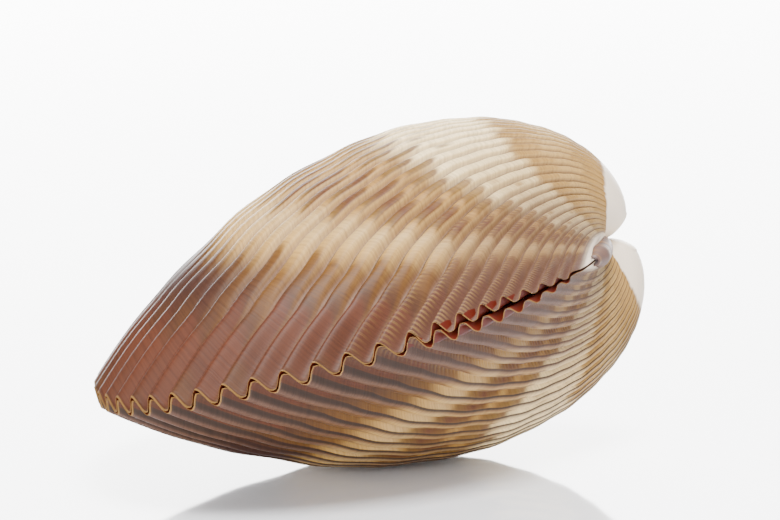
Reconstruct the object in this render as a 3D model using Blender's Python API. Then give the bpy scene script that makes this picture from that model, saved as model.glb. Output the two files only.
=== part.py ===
"""Cockle shell: two ribbed valves joined by a ligament, lying on the lower valve.

Each valve is one wall that grew at its edge. Its shape is the edge's outline, repeated at a
steady shrink while it turns about the hinge line towards the beak. Shell coordinates are
(along the hinge line to the rear, away from the open edge, out of the plane of closure).
Lengths inside the script are in millimetres and are scaled to metres when a piece is placed.
"""

import math

import bmesh
import bpy
from mathutils import Matrix, Vector

MM = 0.001

# Outline of the closed edge.
HEIGHT = 92.0  # hinge line to the far edge
HINGE_OFFSET = 1.2  # edge to hinge line at the beak
HALF_LENGTH = 44.3  # front to rear, halved
REAR_SHIFT = 6.3  # the beak stands this far in front of the middle
ROUNDNESS = 0.93
END_TAPER = 0.096

# Growth of a valve about the hinge line.
SHRINK_RATE = 1.06  # per radian
TURN_END = 2.55  # radians from the edge to the beak
RIB_DRIFT = 0.452
DRIFT_START = 0.15
DRIFT_REACH = 2.87

# Ribs, counted from the middle of the far edge.
RIBS_EACH_WAY = 23
RIB_STEP = 0.118  # radians round the outline
RIB_STEP_NEAR_HINGE = 0.0975
RIBS_BEFORE_STEP_CHANGE = 15
RIB_FADE_OUT = 1.5  # the beak is worn smooth
RIB_GONE = 1.95
TOOTH_HEIGHT = 1.4  # each way from the mean edge
LOW_TOOTH_SHARE = 0.25  # what is left of it beside the hinge
LOW_TEETH_START = 1.7
LOW_TEETH_END = 2.5
TOOTH_STATIONS = ((0.0, 1.0), (0.3, 0.1), (0.58, -1.0), (0.8, -0.45))

# Hinge side, between the last ribs.
HINGE_STATIONS = 9

# Fit between the valves.
EDGE_GAP = 0.36
GAPE = 0.8  # each valve, at the rear
GAPE_CENTRE = 2.15
GAPE_HALF_WIDTH = 0.5

# Wall.
WALL_AT_EDGE = 3.4
WALL_GROWTH = 1.2  # per radian
LIP_RISE = 0.05
LIP_TOOTH_SHARE = 0.6
LIP_SLANT = 0.09  # the edge's inner teeth run towards the beak, not square to the edge
LIP_SLANT_FADE = 2.6
OUTER_ROWS = 14
ROW_CROWDING = 1.15
INNER_ROWS = 5
CAVITY_END = 1.72
INNER_TOOTH_FADE = 0.3
CAP_ROWS = 3
CAP_REACH = 0.9

# Ligament: an arched strap over the hinge line, behind the beaks.
LIGAMENT_START = 8.0
LIGAMENT_END = 21.0
LIGAMENT_RADIUS = 1.9
LIGAMENT_THICKNESS = 0.8
LIGAMENT_WRAP_START = 58.0  # degrees to each side of straight out
LIGAMENT_WRAP_END = 112.0
LIGAMENT_STEPS = 12
LIGAMENT_ARC_POINTS = 11

# Rest pose on the lower valve.
TILT = 13.0  # degrees, beaks up
LEAN = 0.4  # degrees, rear down

SHELL_COLOUR = (0.36, 0.20, 0.12)
SHELL_ROUGHNESS = 0.42
LIGAMENT_COLOUR = (0.30, 0.24, 0.21)
LIGAMENT_ROUGHNESS = 0.6


def smooth(low, high, value):
    """Ease from 0 at low to 1 at high."""
    share = min(max((value - low) / (high - low), 0.0), 1.0)
    return share * share * (3.0 - 2.0 * share)


def rib_angle(rib):
    """Angle round the outline of a place counted in ribs."""
    count = abs(rib)
    near = min(count, RIBS_BEFORE_STEP_CHANGE) * RIB_STEP
    far = max(count - RIBS_BEFORE_STEP_CHANGE, 0.0) * RIB_STEP_NEAR_HINGE
    return math.copysign(near + far, rib)


def edge_stations():
    """Angle and tooth height of every station round the closed edge, in order."""
    stations = []
    for rib in range(-RIBS_EACH_WAY, RIBS_EACH_WAY):
        for share, tooth in TOOTH_STATIONS:
            stations.append((rib_angle(rib + share), tooth))
    last = rib_angle(RIBS_EACH_WAY)
    stations.append((last, TOOTH_STATIONS[0][1]))
    span = 2.0 * (math.pi - last)
    for step in range(1, HINGE_STATIONS + 1):
        angle = last + span * step / (HINGE_STATIONS + 1)
        stations.append((angle, 0.0))
    return stations


def outline(angle, inset):
    """Place on the edge's outline: along the hinge line, and away from it."""
    half_depth = (HEIGHT - HINGE_OFFSET) / 2.0
    sine = math.sin(angle)
    cosine = math.cos(angle)
    reach = math.copysign(abs(sine) ** ROUNDNESS, sine) * (1.0 + END_TAPER * cosine)
    along = REAR_SHIFT + (HALF_LENGTH - inset) * reach
    away = HINGE_OFFSET + half_depth + (half_depth - inset) * cosine
    return along, away


def wrap(angle):
    """The same angle between minus and plus half a turn."""
    return (angle + math.pi) % (2.0 * math.pi) - math.pi


def drifted(angle, turn):
    """Ribs lean towards the front as they run back to the beak."""
    wrapped = wrap(angle)
    if abs(wrapped) >= DRIFT_REACH:
        return angle
    rate = RIB_DRIFT * (1.0 - (wrapped / DRIFT_REACH) ** 2)
    return wrapped - rate * max(turn - DRIFT_START, 0.0)


def slanted(angle):
    """Angle of the inner edge that faces a station of the outer edge."""
    wrapped = wrap(angle)
    shift = LIP_SLANT * (1.0 - math.cos(wrapped)) ** 2
    shift *= 1.0 - smooth(LIP_SLANT_FADE, math.pi, abs(wrapped))
    return angle + math.copysign(shift, wrapped)


def tooth_size(angle):
    """Height of the teeth, which are low beside the hinge."""
    return TOOTH_HEIGHT * (
        1.0 - (1.0 - LOW_TOOTH_SHARE) * smooth(LOW_TEETH_START, LOW_TEETH_END, abs(wrap(angle)))
    )


def gape(angle):
    """Lift of the edge where the closed valves stand apart."""
    wrapped = wrap(angle)
    away = abs(wrapped - GAPE_CENTRE) / GAPE_HALF_WIDTH
    if away >= 1.0:
        return 0.0
    return GAPE * (1.0 - away * away) ** 2


def grown(station, turn, side, inset=0.0, tooth_share=1.0, lift=0.0):
    """A point of the valve: the edge's outline shrunk and turned about the hinge line."""
    angle, tooth = station
    relief = tooth_size(angle) * tooth * tooth_share * (1.0 - smooth(RIB_FADE_OUT, RIB_GONE, turn))
    if inset > 0.0:
        angle = slanted(angle)
    size = math.exp(-SHRINK_RATE * turn)
    along, away = outline(drifted(angle, turn), inset / size)
    height = side * relief + gape(angle) + lift / size
    flat = away * math.cos(turn) - height * math.sin(turn)
    rise = away * math.sin(turn) + height * math.cos(turn)
    return Vector((size * along, -size * flat, side * (size * rise + EDGE_GAP / 2.0)))


def beak_cap(station, share, side):
    """A point of the rounded end of the beak, share 0 at the last ring and 1 at the tip."""
    size = math.exp(-SHRINK_RATE * TURN_END)
    half_depth = (HEIGHT - HINGE_OFFSET) / 2.0
    middle = HINGE_OFFSET + half_depth
    centre = Vector(
        (
            size * REAR_SHIFT,
            -size * middle * math.cos(TURN_END),
            side * (size * middle * math.sin(TURN_END) + EDGE_GAP / 2.0),
        )
    )
    ahead = Vector((0.0, math.sin(TURN_END), side * math.cos(TURN_END)))
    ring = grown(station, TURN_END, side)
    swing = share * math.pi / 2.0
    return centre + (ring - centre) * math.cos(swing) + ahead * CAP_REACH * math.sin(swing)


def place(ring, index, points):
    """Move a ring's corners to the points of their stations."""
    for corner in ring:
        corner.co = points[corner[index]]


def next_ring(mesh, ring_edges):
    """Extrude a ring of edges and give the new ring's edges and corners."""
    made = bmesh.ops.extrude_edge_only(mesh, edges=ring_edges)["geom"]
    corners = [item for item in made if isinstance(item, bmesh.types.BMVert)]
    fresh = set(corners)
    edges = []
    for item in made:
        if isinstance(item, bmesh.types.BMEdge) and set(item.verts) <= fresh:
            edges.append(item)
    return edges, corners


def build_valve(name, side):
    """One valve as a closed wall: beak, outside, edge, inside."""
    stations = edge_stations()
    mesh = bmesh.new()
    index = mesh.verts.layers.int.new("station")
    made = bmesh.ops.create_circle(mesh, cap_ends=True, cap_tris=True, segments=len(stations), radius=1.0)
    tip = None
    ring = []
    for corner in made["verts"]:
        if corner.is_boundary:
            ring.append(corner)
        else:
            tip = corner
    ring.sort(key=lambda corner: math.atan2(corner.co.y, corner.co.x))
    for number, corner in enumerate(ring):
        corner[index] = number
    edges = [edge for edge in mesh.edges if edge.is_boundary]

    tip.co = beak_cap(stations[0], 1.0, side)
    rows = []
    for step in range(CAP_ROWS, 0, -1):
        share = step / (CAP_ROWS + 1)
        rows.append([beak_cap(station, share, side) for station in stations])
    for step in range(OUTER_ROWS, -1, -1):
        turn = TURN_END * (step / OUTER_ROWS) ** ROW_CROWDING
        rows.append([grown(station, turn, side) for station in stations])
    for step in range(INNER_ROWS + 1):
        turn = CAVITY_END * step / INNER_ROWS
        wall = WALL_AT_EDGE + WALL_GROWTH * turn
        teeth = LIP_TOOTH_SHARE * (1.0 - smooth(0.0, INNER_TOOTH_FADE, turn))
        rows.append([grown(station, turn, side, wall, teeth, LIP_RISE) for station in stations])

    place(ring, index, rows[0])
    for points in rows[1:]:
        edges, ring = next_ring(mesh, edges)
        place(ring, index, points)

    middle = sum((corner.co for corner in ring), Vector()) / len(ring)
    edges, ring = next_ring(mesh, edges)
    bmesh.ops.pointmerge(mesh, verts=ring, merge_co=middle)
    return finish_piece(name, mesh, SHELL_COLOUR, SHELL_ROUGHNESS)


def ligament_section(share):
    """Corners of the strap's cross-section at a share of its length."""
    along = LIGAMENT_START + (LIGAMENT_END - LIGAMENT_START) * share
    reach = (along - REAR_SHIFT) / (HALF_LENGTH * (1.0 - END_TAPER))
    angle = math.pi - math.asin(reach ** (1.0 / ROUNDNESS))
    away = outline(angle, 0.0)[1]
    wrap = math.radians(LIGAMENT_WRAP_START + (LIGAMENT_WRAP_END - LIGAMENT_WRAP_START) * share)
    corners = []
    for radius, direction in (
        (LIGAMENT_RADIUS + LIGAMENT_THICKNESS / 2.0, 1.0),
        (LIGAMENT_RADIUS - LIGAMENT_THICKNESS / 2.0, -1.0),
    ):
        for point in range(LIGAMENT_ARC_POINTS):
            swing = direction * wrap * (2.0 * point / (LIGAMENT_ARC_POINTS - 1) - 1.0)
            corners.append(Vector((along, -away + radius * math.cos(swing), radius * math.sin(swing))))
    return corners


def build_ligament(name):
    """The horny strap that joins the valves behind the beaks."""
    mesh = bmesh.new()
    index = mesh.verts.layers.int.new("station")
    made = bmesh.ops.create_circle(mesh, cap_ends=True, segments=2 * LIGAMENT_ARC_POINTS, radius=1.0)
    ring = sorted(made["verts"], key=lambda corner: math.atan2(corner.co.y, corner.co.x))
    for number, corner in enumerate(ring):
        corner[index] = number
    edges = [edge for edge in mesh.edges if edge.is_boundary]
    place(ring, index, ligament_section(0.0))
    for step in range(1, LIGAMENT_STEPS + 1):
        edges, ring = next_ring(mesh, edges)
        place(ring, index, ligament_section(step / LIGAMENT_STEPS))
    bmesh.ops.contextual_create(mesh, geom=edges)
    return finish_piece(name, mesh, LIGAMENT_COLOUR, LIGAMENT_ROUGHNESS)


def finish_piece(name, mesh, colour, roughness):
    """Turn the piece to its rest pose, scale it to metres and give it its material."""
    bmesh.ops.triangulate(mesh, faces=mesh.faces, quad_method="FIXED")
    bmesh.ops.recalc_face_normals(mesh, faces=mesh.faces)
    upright = Matrix(((0.0, 1.0, 0.0), (-1.0, 0.0, 0.0), (0.0, 0.0, 1.0))).to_4x4()
    tilt = Matrix.Rotation(-math.radians(TILT), 4, "Y")
    lean = Matrix.Rotation(math.radians(LEAN), 4, "X")
    bmesh.ops.transform(mesh, matrix=lean @ tilt @ upright, verts=mesh.verts)
    bmesh.ops.scale(mesh, vec=(MM, MM, MM), verts=mesh.verts)
    data = bpy.data.meshes.new(name)
    mesh.to_mesh(data)
    mesh.free()
    material = bpy.data.materials.new(name)
    material.use_nodes = True
    shader = material.node_tree.nodes["Principled BSDF"]
    shader.inputs["Base Color"].default_value = (*colour, 1.0)
    shader.inputs["Roughness"].default_value = roughness
    shader.inputs["Metallic"].default_value = 0.0
    data.materials.append(material)
    piece = bpy.data.objects.new(name, data)
    bpy.context.scene.collection.objects.link(piece)
    return piece


def stand_on_origin(pieces):
    """Put the middle of the underside of the whole shell at the origin."""
    corners = [corner.co for piece in pieces for corner in piece.data.vertices]
    low = Vector([min(corner[axis] for corner in corners) for axis in range(3)])
    high = Vector([max(corner[axis] for corner in corners) for axis in range(3)])
    base = Vector(((low.x + high.x) / 2.0, (low.y + high.y) / 2.0, low.z))
    for piece in pieces:
        piece.data.transform(Matrix.Translation(-base))
    return base


def main():
    for item in list(bpy.data.objects):
        bpy.data.objects.remove(item, do_unlink=True)
    pieces = [
        build_valve("upper_valve", 1),
        build_valve("lower_valve", -1),
        build_ligament("ligament"),
    ]
    stand_on_origin(pieces)


main()
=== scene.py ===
"""The finished cockle shell: two ribbed valves and the ligament that joins them."""

import logging
import math
from dataclasses import dataclass
from enum import Enum

import bmesh
import bpy
from mathutils import Matrix, Vector


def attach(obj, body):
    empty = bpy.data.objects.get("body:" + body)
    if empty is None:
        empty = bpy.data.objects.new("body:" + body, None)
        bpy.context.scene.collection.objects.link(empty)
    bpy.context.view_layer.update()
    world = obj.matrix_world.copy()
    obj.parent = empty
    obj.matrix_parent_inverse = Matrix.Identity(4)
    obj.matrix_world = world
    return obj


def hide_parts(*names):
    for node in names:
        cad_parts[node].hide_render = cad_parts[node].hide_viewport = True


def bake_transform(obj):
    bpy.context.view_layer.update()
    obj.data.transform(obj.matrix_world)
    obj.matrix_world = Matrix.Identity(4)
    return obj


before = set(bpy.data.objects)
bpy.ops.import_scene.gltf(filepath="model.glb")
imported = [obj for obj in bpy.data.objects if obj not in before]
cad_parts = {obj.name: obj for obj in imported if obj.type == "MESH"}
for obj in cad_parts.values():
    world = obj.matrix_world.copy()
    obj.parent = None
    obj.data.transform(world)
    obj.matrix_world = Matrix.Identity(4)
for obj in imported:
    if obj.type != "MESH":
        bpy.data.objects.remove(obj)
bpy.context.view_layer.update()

MM = 0.001
LOG = logging.getLogger("cockle")


class Side(Enum):
    """Which valve a shape belongs to; the value is the way it rises from the plane of closure."""

    UPPER = 1
    LOWER = -1


class Part(Enum):
    """Which face of a valve's wall a ring of points lies on."""

    OUTSIDE = 0
    LIP = 1
    INSIDE = 2


def ease(low: float, high: float, value: float) -> float:
    """Ease from 0 at low to 1 at high.

    Args:
        low: Where the rise starts.
        high: Where it ends.
        value: The value to place between them.

    Returns:
        A share from 0 to 1.
    """
    share = min(max((value - low) / (high - low), 0.0), 1.0)
    return share * share * (3.0 - 2.0 * share)


def wrap(angle: float) -> float:
    """The same angle between minus and plus half a turn."""
    return (angle + math.pi) % (2.0 * math.pi) - math.pi


def paint(red: float, green: float, blue: float) -> tuple[float, float, float, float]:
    """Linear colour of a paint named by its 0 to 255 display values.

    Args:
        red: Red display value.
        green: Green display value.
        blue: Blue display value.

    Returns:
        Linear red, green, blue and an alpha of 1.
    """
    parts = []
    for value in (red, green, blue):
        share = value / 255.0
        parts.append(share / 12.92 if share <= 0.04045 else ((share + 0.055) / 1.055) ** 2.4)
    return (parts[0], parts[1], parts[2], 1.0)


class Wire:
    """A number socket of a node tree that can be used in Python arithmetic."""

    def __init__(self, tree: "Tree", socket: bpy.types.NodeSocket) -> None:
        """Wrap a socket of a tree."""
        self.tree = tree
        self.socket = socket

    def math(self, operation: str, *others: object) -> "Wire":
        """Feed this value and others to a Math node.

        Args:
            operation: The Math node's operation.
            others: Numbers or wires for its further inputs.

        Returns:
            The node's result.
        """
        values = {0: self, **dict(enumerate(others, 1))}
        return self.tree.node("ShaderNodeMath", {"operation": operation}, values)

    def __add__(self, other: object) -> "Wire":
        """Sum."""
        return self.math("ADD", other)

    __radd__ = __add__

    def __mul__(self, other: object) -> "Wire":
        """Product."""
        return self.math("MULTIPLY", other)

    __rmul__ = __mul__

    def __sub__(self, other: object) -> "Wire":
        """Difference."""
        return self.math("SUBTRACT", other)

    def __rsub__(self, other: object) -> "Wire":
        """Difference from a plain number."""
        return self.tree.node("ShaderNodeMath", {"operation": "SUBTRACT"}, {0: other, 1: self})

    def __truediv__(self, other: object) -> "Wire":
        """Quotient."""
        return self.math("DIVIDE", other)

    def __neg__(self) -> "Wire":
        """Opposite."""
        return self * -1.0

    def step(self, low: float, high: float) -> "Wire":
        """Smooth rise from 0 at low to 1 at high, or a fall if low is the greater.

        Args:
            low: Where the result is 0.
            high: Where the result is 1.

        Returns:
            The eased share.
        """
        flip = low > high
        ends = (high, low) if flip else (low, high)
        settings = {"interpolation_type": "SMOOTHSTEP"}
        rise = self.tree.node("ShaderNodeMapRange", settings, {0: self, 1: ends[0], 2: ends[1]})
        return 1.0 - rise if flip else rise

    def bump(self, centre: float, reach: float) -> "Wire":
        """A soft hill of height 1 at centre that ends reach away on both sides."""
        return (self - centre).math("ABSOLUTE").step(reach, 0.0)


class Tree:
    """A node tree whose nodes all come from one method."""

    def __init__(self, nodes: bpy.types.NodeTree) -> None:
        """Work on this node tree."""
        self.nodes = nodes.nodes
        self.links = nodes.links

    def node(self, kind: str, settings: dict, values: dict, output: object = 0) -> Wire:
        """Add a node.

        Args:
            kind: The node's type name.
            settings: Attributes set first; stops gives a colour ramp's positions and colours.
            values: A number, colour or wire for each named or numbered input.
            output: Name or number of the output that is wanted.

        Returns:
            The wanted output.
        """
        made = self.nodes.new(kind)
        for name, value in settings.items():
            if name == "stops":
                ramp = made.color_ramp.elements
                while len(ramp) < len(value):
                    ramp.new(1.0)
                for element, (place, colour) in zip(ramp, value):
                    element.position = place
                    element.color = colour
            else:
                setattr(made, name, value)
        for name, value in values.items():
            if isinstance(value, Wire):
                self.links.new(value.socket, made.inputs[name])
            else:
                made.inputs[name].default_value = value
        return Wire(self, made.outputs[output])

    def mix(self, share: object, first: object, second: object, blend: str = "MIX") -> Wire:
        """Mix two colours.

        Args:
            share: How much of the second is used.
            first: Colour or wire under.
            second: Colour or wire over.
            blend: The Mix node's blend type.

        Returns:
            The mixed colour.
        """
        settings = {"data_type": "RGBA", "blend_type": blend}
        return self.node("ShaderNodeMix", settings, {0: share, 6: first, 7: second}, 2)

    def ramp(self, share: Wire, stops: list) -> Wire:
        """Colour ramp over a share from 0 to 1.

        Args:
            share: The value looked up.
            stops: Position and colour of each stop.

        Returns:
            The ramp's colour.
        """
        return self.node("ShaderNodeValToRGB", {"stops": stops}, {0: share})

    def noise(self, place: Wire, scale: float, detail: float = 2.0, rough: float = 0.5) -> Wire:
        """Cloudy value from 0 to 1 at a place."""
        values = {"Vector": place, "Scale": scale, "Detail": detail, "Roughness": rough}
        return self.node("ShaderNodeTexNoise", {}, values)

    def place(self, x: object, y: object, z: object) -> Wire:
        """A vector from three values."""
        return self.node("ShaderNodeCombineXYZ", {}, {0: x, 1: y, 2: z})

    def lot(self, number: Wire, seed: float) -> Wire:
        """A fixed value from 0 to 1 drawn for each whole number."""
        return self.node("ShaderNodeTexWhiteNoise", {"noise_dimensions": "1D"}, {"W": number + seed})


class Recipe(Tree):
    """A material's node tree, closed by its shader."""

    def __init__(self, name: str, sheen: float = 0.5) -> None:
        """Start an empty tree for a material.

        Args:
            name: The material's name.
            sheen: Strength of its mirror-like reflection.
        """
        self.sheen = sheen
        self.material = bpy.data.materials.new(name)
        self.material.use_nodes = True
        super().__init__(self.material.node_tree)
        self.shader = self.nodes["Principled BSDF"]

    def close(self, colour: object, rough: object, height: object, depth: float) -> bpy.types.Material:
        """Feed the shader.

        Args:
            colour: Base colour or wire.
            rough: Roughness or wire.
            height: Relief wire from 0 to 1, or None.
            depth: What a relief of 1 stands for, in metres.

        Returns:
            The material.
        """
        for name, value in (("Base Color", colour), ("Roughness", rough)):
            if isinstance(value, Wire):
                self.links.new(value.socket, self.shader.inputs[name])
            else:
                self.shader.inputs[name].default_value = value
        self.shader.inputs["Specular IOR Level"].default_value = self.sheen
        if height is not None:
            relief = self.node("ShaderNodeBump", {}, {"Strength": 1.0, "Distance": depth, "Height": height})
            self.links.new(relief.socket, self.shader.inputs["Normal"])
        return self.material


class Paint(Enum):
    """The shell's colours, as 0 to 255 display values, and one near-black brown that is painted shade for the
    grooves between ribs.
    """

    PLUM = (50, 26, 20)
    UMBER = (66, 38, 20)
    TERRACOTTA = (66, 34, 19)
    RUST = (76, 38, 22)
    OCHRE = (98, 64, 22)
    OLIVE = (102, 74, 28)
    TAN = (150, 112, 56)
    STRAW = (168, 132, 74)
    CREAM = (178, 146, 94)
    CHALK = (240, 216, 166)
    BONE = (232, 214, 192)
    LILAC = (100, 74, 64)
    # Painted shade: near-black brown laid in the grooves between ribs.
    GROOVE_SHADE = (40, 26, 18)
    HORN = (80, 66, 66)
    EMBER = (78, 22, 10)
    CORAL = (118, 50, 28)

    def linear(self) -> tuple[float, float, float, float]:
        """The paint as a linear colour."""
        return paint(*self.value)


@dataclass(frozen=True)
class Growth:
    """How a valve grows: the edge's outline, shrunk and turned about the hinge line (mm)."""

    height: float = 92.0
    hinge_offset: float = 1.2
    half_length: float = 44.3
    rear_shift: float = 6.3
    roundness: float = 0.93
    end_taper: float = 0.096
    shrink: float = 1.06
    turn_end: float = 2.55
    drift: float = 0.452
    drift_start: float = 0.15
    drift_reach: float = 2.87
    ribs_each_way: int = 23
    rib_step: float = 0.118
    rib_step_near_hinge: float = 0.0975
    ribs_before_change: int = 15
    rib_fade: float = 1.62
    rib_gone: float = 1.84
    tooth: float = 1.4
    low_tooth_share: float = 0.3
    low_teeth_start: float = 1.75
    low_teeth_end: float = 2.55
    gap: float = 0.36
    gape: float = 0.8
    gape_centre: float = 2.15
    gape_half_width: float = 0.5
    wall: float = 3.4
    wall_growth: float = 1.2
    lip_tooth_share: float = 0.6
    lip_slant: float = 0.09
    lip_slant_fade: float = 2.6
    cap_reach: float = 0.9

    @property
    def half_depth(self) -> float:
        """Half of the outline's reach away from the hinge line."""
        return (self.height - self.hinge_offset) / 2.0

    def rib_angle(self, rib: float) -> float:
        """Angle round the outline.

        Args:
            rib: A place counted in ribs.

        Returns:
            The angle, 0 at the far edge.
        """
        count = abs(rib)
        near = min(count, self.ribs_before_change) * self.rib_step
        far = max(count - self.ribs_before_change, 0.0) * self.rib_step_near_hinge
        return math.copysign(near + far, rib)

    def outline(self, angle: float, inset: float) -> tuple[float, float]:
        """Place on the edge's outline.

        Args:
            angle: Angle round the outline, 0 at the far edge.
            inset: Distance inside the outline.

        Returns:
            Distance along the hinge line and distance away from it.
        """
        sine = math.sin(angle)
        cosine = math.cos(angle)
        reach = math.copysign(abs(sine) ** self.roundness, sine) * (1.0 + self.end_taper * cosine)
        along = self.rear_shift + (self.half_length - inset) * reach
        away = self.hinge_offset + self.half_depth + (self.half_depth - inset) * cosine
        return along, away

    def drifted(self, angle: float, turn: float) -> float:
        """Angle of a rib that leans to the front as it runs back to the beak.

        Args:
            angle: The rib's angle at the edge.
            turn: Turn from the edge.

        Returns:
            The rib's angle at that turn.
        """
        wrapped = wrap(angle)
        if abs(wrapped) >= self.drift_reach:
            return angle
        rate = self.drift * (1.0 - (wrapped / self.drift_reach) ** 2)
        return wrapped - rate * max(turn - self.drift_start, 0.0)

    def slanted(self, angle: float) -> float:
        """Angle of the inner edge that faces a station of the outer edge.

        Args:
            angle: Angle of the outer edge's station.

        Returns:
            Angle of the inner edge.
        """
        wrapped = wrap(angle)
        shift = self.lip_slant * (1.0 - math.cos(wrapped)) ** 2
        shift *= 1.0 - ease(self.lip_slant_fade, math.pi, abs(wrapped))
        return angle + math.copysign(shift, wrapped)

    def tooth_size(self, angle: float) -> float:
        """Height of the edge's teeth, which are low beside the hinge."""
        lost = (1.0 - self.low_tooth_share) * ease(self.low_teeth_start, self.low_teeth_end, abs(wrap(angle)))
        return self.tooth * (1.0 - lost)

    def lift(self, angle: float) -> float:
        """Lift of the edge where the closed valves stand apart."""
        away = abs(wrap(angle) - self.gape_centre) / self.gape_half_width
        return 0.0 if away >= 1.0 else self.gape * (1.0 - away * away) ** 2


@dataclass(frozen=True)
class Rest:
    """How the shell lies: the hinge line's place and the shell's turn."""

    hinge: tuple[float, float, float] = (0.041576, 0.006211, 0.036531)
    tilt: float = 13.0
    lean: float = 0.4

    def matrix(self) -> Matrix:
        """Place of the lying shell.

        Returns:
            Matrix from shell coordinates in millimetres to the row frame in metres.
        """
        upright = Matrix(((0.0, 1.0, 0.0), (-1.0, 0.0, 0.0), (0.0, 0.0, 1.0))).to_4x4()
        tilt = Matrix.Rotation(-math.radians(self.tilt), 4, "Y")
        lean = Matrix.Rotation(math.radians(self.lean), 4, "X")
        return Matrix.Translation(self.hinge) @ lean @ tilt @ upright @ Matrix.Scale(MM, 4)


@dataclass(frozen=True)
class ShellFinish:
    """Paint and polish of a valve, read from its rib and growth coordinates.

    The map named growth holds the place counted in ribs and the turn from the edge. The
    lip holds turns from 0 to -1 and the inside holds turns under -1.
    """

    name: str
    seed: float
    ground: tuple = (
        (0.00, Paint.UMBER),
        (0.25, Paint.OCHRE),
        (0.32, Paint.STRAW),
        (0.38, Paint.CREAM),
        (0.44, Paint.TAN),
        (0.64, Paint.TAN),
        (0.74, Paint.CHALK),
        (1.00, Paint.CHALK),
        (1.08, Paint.STRAW),
        (1.30, Paint.CREAM),
        (1.50, Paint.STRAW),
        (1.75, Paint.TAN),
    )
    patch: tuple = (
        (0.00, Paint.TERRACOTTA),
        (0.13, Paint.RUST),
        (0.16, Paint.UMBER),
        (0.26, Paint.OCHRE),
        (0.43, Paint.OLIVE),
        (0.50, Paint.RUST),
        (0.56, Paint.OCHRE),
        (0.66, Paint.OLIVE),
        (0.70, Paint.RUST),
        (1.05, Paint.OCHRE),
        (1.20, Paint.TAN),
        (1.50, Paint.OCHRE),
        (1.70, Paint.TAN),
    )
    bands: tuple = (
        (0.00, 0.27, 0.95),
        (0.43, 0.56, 0.90),
        (0.60, 0.71, 0.85),
        (1.06, 1.22, 0.65),
        (1.46, 1.74, 0.50),
    )
    band_edge: float = 0.018
    ramp_turn: float = 2.0
    sheen: float = 0.22
    rough: float = 0.5
    relief: float = 0.00012
    patch_middle: float = 0.19
    patch_reach: float = 0.36
    # Place and reach of the painted shade in the groove between ribs.
    groove: float = 0.84
    groove_reach: float = 0.16
    shrink: float = 1.06

    def stops(self, bands: tuple) -> list:
        """Ramp stops from turns and their paints."""
        return [(turn / self.ramp_turn, colour.linear()) for turn, colour in bands]

    def inside_stops(self) -> list:
        """Stops of the inside: deep orange at the edge, pale in the hollow."""
        return [(0.0, Paint.EMBER.linear()), (0.08, Paint.CORAL.linear()), (0.3, Paint.BONE.linear())]

    def material(self) -> bpy.types.Material:
        """Build the material.

        Returns:
            The valve's material.
        """
        make = Recipe(self.name, self.sheen)
        chart = make.node("ShaderNodeUVMap", {"uv_map": "growth"}, {})
        rib_place = make.node("ShaderNodeSeparateXYZ", {}, {0: chart}, 0)
        turn = make.node("ShaderNodeSeparateXYZ", {}, {0: chart}, 1)
        rib = (rib_place + 0.12).math("FLOOR")
        across = rib_place - rib
        grown = 1.0 - (turn * -self.shrink).math("EXPONENT")
        draw = make.lot(rib, self.seed)
        draw_two = make.lot(rib, self.seed + 57.3)
        cloud = make.noise(make.place(rib_place * 0.8, grown * 22.0, self.seed), 1.0, 3.0)
        middle = (across - self.patch_middle) / self.patch_reach
        jitter = (draw - 0.5) * 0.08 + (draw_two - 0.5) * 0.08 * turn + (cloud - 0.5) * 0.05
        staggered = turn + jitter + middle * middle * 0.03
        looked = staggered / self.ramp_turn

        ground = make.ramp((turn + jitter * 0.5) / self.ramp_turn, self.stops(self.ground))
        patch = make.ramp(looked, self.stops(self.patch))
        strength = 0.0
        for low, high, full in self.bands:
            start = staggered.step(low - self.band_edge, low + self.band_edge)
            strength = strength + start * staggered.step(high + self.band_edge, high - self.band_edge) * full
        width = middle.math("ABSOLUTE").step(1.12, 0.72)
        colour = make.mix(strength * width, ground, patch)

        spot = (turn - draw_two * 0.22).bump(0.76, 0.05) * middle.math("ABSOLUTE").step(0.9, 0.4)
        colour = make.mix(spot * draw.step(0.3, 0.5) * 0.7, colour, Paint.OCHRE.linear())
        # Cream strip on each rib beside its patch: partly the shell's own colour, partly a painted highlight
        # that brightens the rib.
        strip = across.bump(0.57, 0.12) * turn.step(0.2, 0.35)
        colour = make.mix(strip * 0.4, colour, Paint.CREAM.linear())
        warm = rib_place.step(7.0, 14.0) * turn.step(0.6, 0.8) * turn.step(1.78, 1.7)
        colour = make.mix(warm * 0.5, colour, Paint.STRAW.linear())

        # Lilac-grey strip on the rib flank beside each groove: partly the shell's own tint, partly a painted
        # sheen of reflected light.
        lilac = across.bump(0.74, 0.22) * turn.step(1.75, 1.4)
        colour = make.mix(lilac * 0.55, colour, Paint.LILAC.linear())
        # Painted shade: the groove between neighbouring ribs is darkened with the near-black brown.
        groove = across.bump(self.groove, self.groove_reach)
        colour = make.mix(groove * 0.95, colour, Paint.GROOVE_SHADE.linear())

        front = rib_place.math("ABSOLUTE").step(8.5, 4.5) * turn.bump(0.205, 0.12)
        colour = make.mix(front * 0.9, colour, Paint.PLUM.linear())

        rear = rib_place.step(12.5, 17.0) * turn.step(1.3, 0.75)
        colour = make.mix(rear * 0.5, colour, Paint.LILAC.linear())
        phase = grown * 75.0 + draw * 3.0
        cell = (phase * 2.0 * math.pi).math("SINE") * 0.5 + 0.5
        bead = cell.step(0.3, 0.8) * across.bump(0.12, 0.3) * rib_place.step(12.0, 15.5) * turn.step(1.6, 1.2)
        colour = make.mix(bead * (0.15 + cloud * 0.3), colour, Paint.STRAW.linear())

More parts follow.
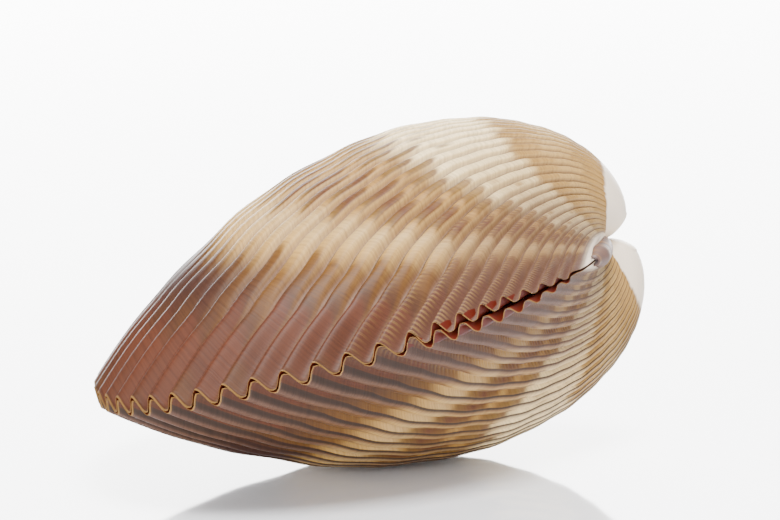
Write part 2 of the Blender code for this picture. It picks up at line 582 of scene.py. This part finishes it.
        line = make.noise(make.place(rib_place * 0.45, grown * 240.0, self.seed + 9.0), 1.0, 2.0, 0.6)
        shade = make.ramp(line, [(0.32, (0.72, 0.68, 0.66, 1.0)), (0.6, (1.06, 1.05, 1.03, 1.0))])
        colour = make.mix(0.8 * turn.step(1.9, 1.2), colour, shade, "MULTIPLY")

        worn = (turn + (cloud - 0.5) * 0.1 + (draw - 0.5) * 0.03).step(1.76, 1.83)
        colour = make.mix(worn, colour, Paint.BONE.linear())
        hinge = rib_place.math("ABSOLUTE").step(23.6, 24.6)
        colour = make.mix(hinge * (1.0 - worn), colour, Paint.BONE.linear())

        rim = turn.step(0.0035, 0.0015)
        colour = make.mix(rim * 0.6, colour, Paint.TAN.linear())
        inner = turn.step(-0.015, -0.05)
        deep = make.ramp((turn + 1.0) * -0.5, self.inside_stops())
        colour = make.mix(inner, colour, deep)

        outside = turn.step(-0.02, 0.0)
        rough = self.rough - worn * 0.12 - inner * 0.1 + (line - 0.5) * 0.1
        height = (line * 0.35 + bead * 0.7 + (cloud - 0.5) * 0.5) * outside
        return make.close(colour, rough, height, self.relief)


@dataclass(frozen=True)
class LigamentFinish:
    """Dry horn in grey-white and lilac-brown stripes that run along the strap."""

    name: str = "ligament"

    def material(self) -> bpy.types.Material:
        """Build the material.

        Returns:
            The ligament's material.
        """
        make = Recipe(self.name)
        chart = make.node("ShaderNodeUVMap", {"uv_map": "growth"}, {})
        along = make.node("ShaderNodeSeparateXYZ", {}, {0: chart}, 0)
        around = make.node("ShaderNodeSeparateXYZ", {}, {0: chart}, 1)
        cloud = make.noise(make.place(along * 0.5, around * 9.0, 3.0), 1.0, 3.0)
        stops = [(0.34, Paint.HORN.linear()), (0.52, Paint.LILAC.linear()), (0.72, Paint.TAN.linear())]
        colour = make.ramp(cloud, stops)
        return make.close(colour, 0.5, cloud, 0.0002)


class Builder:
    """Rings of points made into a closed mesh by extrusion, with a growth map."""

    def __init__(self, name: str, count: int) -> None:
        """Start a mesh of rings.

        Args:
            name: The finished piece's name.
            count: How many points a ring has.
        """
        self.name = name
        self.count = count
        self.mesh = bmesh.new()
        self.station = self.mesh.verts.layers.int.new("station")
        self.row = self.mesh.verts.layers.float.new("row")
        self.edges = []
        self.ring = []

    def start(self, points: list, row: float, tip: Vector) -> None:
        """Make the first ring and close it with a fan to a tip.

        Args:
            points: The ring's points.
            row: The ring's growth coordinate.
            tip: The fan's middle.
        """
        made = bmesh.ops.create_circle(
            self.mesh, cap_ends=True, cap_tris=True, segments=self.count, radius=1.0
        )
        self.ring = []
        for corner in made["verts"]:
            corner[self.row] = row
            if corner.is_boundary:
                self.ring.append(corner)
            else:
                corner.co = tip
        self.ring.sort(key=lambda corner: math.atan2(corner.co.y, corner.co.x))
        for number, corner in enumerate(self.ring):
            corner[self.station] = number
        self.edges = [edge for edge in self.mesh.edges if edge.is_boundary]
        self.place(points, row)

    def place(self, points: list, row: float) -> None:
        """Move the open ring's corners to their points."""
        for corner in self.ring:
            corner.co = points[corner[self.station]]
            corner[self.row] = row

    def grow(self, points: list, row: float) -> None:
        """Extrude the open ring to new points.

        Args:
            points: The new ring's points.
            row: The new ring's growth coordinate.
        """
        made = bmesh.ops.extrude_edge_only(self.mesh, edges=self.edges)["geom"]
        self.ring = [item for item in made if isinstance(item, bmesh.types.BMVert)]
        fresh = set(self.ring)
        edges = [item for item in made if isinstance(item, bmesh.types.BMEdge)]
        self.edges = [edge for edge in edges if set(edge.verts) <= fresh]
        self.place(points, row)

    def shut(self) -> None:
        """Close the open ring to its middle."""
        middle = sum((corner.co for corner in self.ring), Vector()) / len(self.ring)
        row = self.ring[0][self.row]
        self.grow([middle] * self.count, row)
        bmesh.ops.pointmerge(self.mesh, verts=self.ring, merge_co=middle)

    def chart(self, columns: list, seam: float) -> None:
        """Write the growth map from each corner's column and row.

        Args:
            columns: The rib coordinate of each station.
            seam: The rib coordinate that closes the ring.
        """
        layer = self.mesh.loops.layers.uv.new("growth")
        last = self.count - 1
        for face in self.mesh.faces:
            numbers = [corner[self.station] for corner in face.verts]
            crosses = 0 in numbers and last in numbers
            for loop in face.loops:
                number = loop.vert[self.station]
                column = seam if crosses and number == 0 else columns[number]
                loop[layer].uv = (column, loop.vert[self.row])

    def finish(self, matrix: Matrix, material: bpy.types.Material) -> bpy.types.Object:
        """Put the mesh in its place as an object.

        Args:
            matrix: From the mesh's coordinates to the row frame.
            material: The object's material.

        Returns:
            The new object.
        """
        bmesh.ops.transform(self.mesh, matrix=matrix, verts=self.mesh.verts)
        bmesh.ops.recalc_face_normals(self.mesh, faces=self.mesh.faces)
        for face in self.mesh.faces:
            face.smooth = True
        data = bpy.data.meshes.new(self.name)
        self.mesh.to_mesh(data)
        self.mesh.free()
        data.materials.append(material)
        piece = bpy.data.objects.new(self.name, data)
        bpy.context.scene.collection.objects.link(piece)
        return piece


@dataclass
class Valve:
    """One valve as a closed wall with ribs, a toothed edge and a smooth worn beak."""

    side: Side
    growth: Growth
    rest: Rest
    finish: ShellFinish
    points_per_rib: int = 10
    hinge_points: int = 24
    outer_rows: int = 96
    inner_rows: int = 30
    row_crowding: float = 1.25
    cap_rows: int = 8
    cavity_end: float = 1.72
    cusp_start: float = 0.58
    cusp_end: float = 0.66
    groove: float = 0.76
    groove_width: float = 0.17
    lower_shift: float = 0.04
    growth_step: float = 0.006

    def stations(self) -> list:
        """Rib coordinates of a ring's points.

        Returns:
            One coordinate for each point, all round the edge.
        """
        each = self.points_per_rib
        reach = self.growth.ribs_each_way
        columns = [number / each for number in range(-reach * each, reach * each + 1)]
        last = self.growth.rib_angle(reach)
        step = 2.0 * (math.pi - last) / (self.hinge_points + 1)
        near = self.growth.rib_step_near_hinge
        for number in range(1, self.hinge_points + 1):
            columns.append(reach + step * number / near)
        return columns

    def angle(self, column: float) -> float:
        """Angle of a rib coordinate, past the last rib too."""
        return self.growth.rib_angle(column)

    def relief(self, column: float, turn: float) -> float:
        """Height of the ribs, from -1 to 1.

        Args:
            column: Rib coordinate.
            turn: Turn from the edge.

        Returns:
            The rib's height before it is scaled.
        """
        reach = self.growth.ribs_each_way
        if abs(column) > reach:
            past = math.cos(min(abs(column) - reach, 1.0) * math.pi) * 0.5 + 0.5
            return past if column < reach + 1 else 0.0
        if self.side is Side.LOWER:
            column = column - self.lower_shift
        share = column % 1.0
        if share < self.cusp_start:
            tooth = math.cos(math.pi * share / self.cusp_start)
        elif share < self.cusp_end:
            tooth = -1.0
        else:
            tooth = -math.cos(math.pi * (share - self.cusp_end) / (1.0 - self.cusp_end))
        if self.side is Side.LOWER:
            tooth = min(tooth, 0.8)
        away = min(abs(share - self.groove), 1.0 - abs(share - self.groove)) / self.groove_width
        band = 0.65 - 1.75 * math.exp(-away * away)
        settled = ease(0.03, 0.3, turn)
        if self.side is Side.LOWER:
            away = min(abs(share - 0.06), 1.0 - abs(share - 0.06)) / self.groove_width
            band = -0.65 + 1.75 * math.exp(-away * away)
        return tooth + (band - tooth) * settled

    def point(self, column: float, turn: float, part: Part, depth: float = 0.0) -> Vector:
        """A point of the wall.

        Args:
            column: Rib coordinate.
            turn: Turn from the edge.
            part: Which face of the wall.
            depth: Distance inside the outer face, as a share of the wall.

        Returns:
            The point in shell coordinates.
        """
        grow = self.growth
        angle = self.angle(column)
        height = grow.tooth_size(angle) * self.relief(column, turn if part is Part.OUTSIDE else 0.0)
        inset = 0.0
        if part is Part.OUTSIDE:
            height *= 1.0 - ease(grow.rib_fade, grow.rib_gone, turn)
        else:
            inset = (grow.wall + grow.wall_growth * turn) * depth
            share = 1.0 - (1.0 - grow.lip_tooth_share) * depth
            height *= share * (1.0 - ease(0.0, 0.3, turn))
            angle += (grow.slanted(angle) - angle) * depth
        size = math.exp(-grow.shrink * turn)
        steps = math.sin(turn * 31.0) * math.sin(turn * 12.7 + 1.0)
        size *= 1.0 + self.growth_step * steps * ease(0.05, 0.2, turn) * (1.0 - ease(1.5, 1.8, turn))
        along, away = grow.outline(grow.drifted(angle, turn), inset / size)
        side = self.side.value
        rise = side * height + grow.lift(angle)
        flat = away * math.cos(turn) - rise * math.sin(turn)
        up = away * math.sin(turn) + rise * math.cos(turn)
        return Vector((size * along, -size * flat, side * (size * up + grow.gap / 2.0)))

    def cap(self, column: float, share: float) -> Vector:
        """A point of the beak's rounded end.

        Args:
            column: Rib coordinate.
            share: 0 at the last ring and 1 at the tip.

        Returns:
            The point in shell coordinates.
        """
        grow = self.growth
        side = self.side.value
        size = math.exp(-grow.shrink * grow.turn_end)
        middle = size * (grow.hinge_offset + grow.half_depth)
        turn = grow.turn_end
        rise = side * (middle * math.sin(turn) + grow.gap / 2.0)
        centre = Vector((size * grow.rear_shift, -middle * math.cos(turn), rise))
        ahead = Vector((0.0, math.sin(turn), side * math.cos(turn)))
        ring = self.point(column, turn, Part.OUTSIDE)
        swing = share * math.pi / 2.0
        return centre + (ring - centre) * math.cos(swing) + ahead * grow.cap_reach * math.sin(swing)

    def build(self) -> bpy.types.Object:
        """Model and paint the valve.

        Returns:
            The finished piece.
        """
        columns = self.stations()
        grow = self.growth
        name = "upper_shell" if self.side is Side.UPPER else "lower_shell"
        work = Builder(name, len(columns))
        first = [self.cap(column, self.cap_rows / (self.cap_rows + 1)) for column in columns]
        work.start(first, grow.turn_end, self.cap(0.0, 1.0))
        for number in range(self.cap_rows - 1, 0, -1):
            share = number / (self.cap_rows + 1)
            work.grow([self.cap(column, share) for column in columns], grow.turn_end)
        for number in range(self.outer_rows, -1, -1):
            turn = grow.turn_end * (number / self.outer_rows) ** self.row_crowding
            work.grow([self.point(column, turn, Part.OUTSIDE) for column in columns], turn)
        for depth in (0.03, 0.25, 0.5, 0.75):
            work.grow([self.point(column, 0.0, Part.LIP, depth) for column in columns], -depth)
        for number in range(self.inner_rows + 1):
            turn = self.cavity_end * number / self.inner_rows
            work.grow([self.point(column, turn, Part.INSIDE, 1.0) for column in columns], -1.0 - turn)
        work.shut()
        near = grow.rib_step_near_hinge
        seam = grow.ribs_each_way + 2.0 * (math.pi - grow.rib_angle(grow.ribs_each_way)) / near
        work.chart(columns, seam)
        piece = work.finish(self.rest.matrix(), self.finish.material())
        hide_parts("upper_valve" if self.side is Side.UPPER else "lower_valve")
        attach(piece, "upper" if self.side is Side.UPPER else "lower")
        return piece


@dataclass
class Ligament:
    """The horny strap arched over the hinge line behind the beaks (mm, degrees)."""

    growth: Growth
    rest: Rest
    finish: LigamentFinish
    start: float = 8.0
    end: float = 21.0
    radius: float = 1.5
    thickness: float = 0.8
    wrap_start: float = 58.0
    wrap_end: float = 114.0
    steps: int = 48
    arc_points: int = 25

    def section(self, share: float) -> list:
        """Points of the strap's cross-section.

        Args:
            share: Place along the strap, from 0 to 1.

        Returns:
            The points in shell coordinates.
        """
        grow = self.growth
        along = self.start + (self.end - self.start) * share
        reach = max(along - grow.rear_shift, 0.0) / (grow.half_length * (1.0 - grow.end_taper))
        angle = math.pi - math.asin(reach ** (1.0 / grow.roundness))
        away = grow.outline(angle, 0.0)[1]
        reach_round = math.radians(self.wrap_start + (self.wrap_end - self.wrap_start) * share)
        slim = 1.0 - 0.5 * ease(0.75, 1.0, share)
        points = []
        half = self.thickness / 2.0
        for radius, way in ((self.radius + half, 1.0), (self.radius - half, -1.0)):
            for number in range(self.arc_points):
                swing = way * reach_round * (2.0 * number / (self.arc_points - 1) - 1.0)
                reach_out = radius * slim
                flat = -away + reach_out * math.cos(swing)
                points.append(Vector((along, flat, reach_out * math.sin(swing))))
        return points

    def build(self) -> bpy.types.Object:
        """Model and paint the strap.

        Returns:
            The finished piece.
        """
        count = 2 * self.arc_points
        work = Builder("ligament_strap", count)
        first = self.section(0.0)
        middle = sum(first, Vector()) / count
        work.start(first, 0.0, middle)
        for number in range(1, self.steps + 1):
            work.grow(self.section(number / self.steps), number / self.steps)
        work.shut()
        work.chart([number / count for number in range(count)], 1.0)
        piece = work.finish(self.rest.matrix(), self.finish.material())
        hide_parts("ligament")
        place = self.rest.matrix()
        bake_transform(piece)
        return piece


@dataclass
class Studio:
    """Pale floor, plain soft light and the camera."""

    floor_size: float = 6.0
    camera_place: tuple = (-0.01575, -0.54726, 0.10709)
    camera_turn: tuple = (82.555, 2.844, -2.422)
    lens: float = 147.4
    world_light: float = 0.75
    back_light: float = 15.0
    back_start: float = 0.72
    back_full: float = 0.94

    def floor(self) -> None:
        """Lay the floor."""
        mesh = bmesh.new()
        bmesh.ops.create_grid(mesh, x_segments=1, y_segments=1, size=self.floor_size / 2.0)
        data = bpy.data.meshes.new("floor")
        mesh.to_mesh(data)
        mesh.free()
        make = Recipe("floor")
        data.materials.append(make.close(paint(246, 247, 250), 0.06, None, 0.0))
        floor = bpy.data.objects.new("floor", data)
        bpy.context.scene.collection.objects.link(floor)

    def light(self, name: str, place: tuple, size: float, power: float) -> None:
        """Hang a square soft light that faces the shell.

        Args:
            name: The light's name.
            place: Where it hangs.
            size: Its side.
            power: Its power in watts.
        """
        data = bpy.data.lights.new(name, "AREA")
        data.shape = "SQUARE"
        data.size = size
        data.energy = power
        lamp = bpy.data.objects.new(name, data)
        lamp.location = place
        aim = Vector((0.0, 0.0, 0.03)) - Vector(place)
        lamp.rotation_euler = aim.to_track_quat("-Z", "Y").to_euler()
        bpy.context.scene.collection.objects.link(lamp)

    def camera(self) -> None:
        """Set up the camera."""
        data = bpy.data.cameras.new("camera")
        data.lens = self.lens
        data.sensor_width = 36.0
        data.clip_start = 0.01
        data.clip_end = 20.0
        camera = bpy.data.objects.new("camera", data)
        camera.location = self.camera_place
        camera.rotation_euler = [math.radians(turn) for turn in self.camera_turn]
        bpy.context.scene.collection.objects.link(camera)
        bpy.context.scene.camera = camera

    def world(self) -> None:
        """Surround the shell with soft light that is brightest low down behind it."""
        world = bpy.data.worlds.new("studio")
        world.use_nodes = True
        tree = Tree(world.node_tree)
        back = tree.nodes["Background"]
        back.inputs["Color"].default_value = (1.0, 1.0, 1.0, 1.0)
        way = tree.node("ShaderNodeNewGeometry", {}, {}, "Position")
        depth = tree.node("ShaderNodeSeparateXYZ", {}, {0: way}, 1)
        ends = {0: depth, 1: self.back_start, 2: self.back_full, 3: self.world_light, 4: self.back_light}
        light = tree.node("ShaderNodeMapRange", {"interpolation_type": "SMOOTHSTEP"}, ends)
        tree.links.new(light.socket, back.inputs["Strength"])
        bpy.context.scene.world = world

    def build(self) -> None:
        """Set the whole studio."""
        self.floor()
        self.world()
        self.light("key", (0.10, -0.25, 0.70), 0.30, 12.0)
        self.light("fill", (-0.55, -0.60, 0.12), 0.6, 7.0)
        self.light("low", (-0.25, -0.70, 0.05), 0.5, 10.0)
        self.camera()


def main() -> None:
    """Build the shell and its studio, and report each piece."""
    logging.basicConfig(level=logging.INFO, format="%(message)s")
    growth = Growth()
    rest = Rest()
    builders = (
        Valve(Side.UPPER, growth, rest, ShellFinish("upper_valve", 11.0)),
        Valve(Side.LOWER, growth, rest, ShellFinish("lower_valve", 83.0)),
        Ligament(growth, rest, LigamentFinish()),
    )
    for builder in builders:
        piece = builder.build()
        LOG.info("%s: %d faces", piece.name, len(piece.data.polygons))
    Studio().build()


if __name__ == "__main__":
    main()
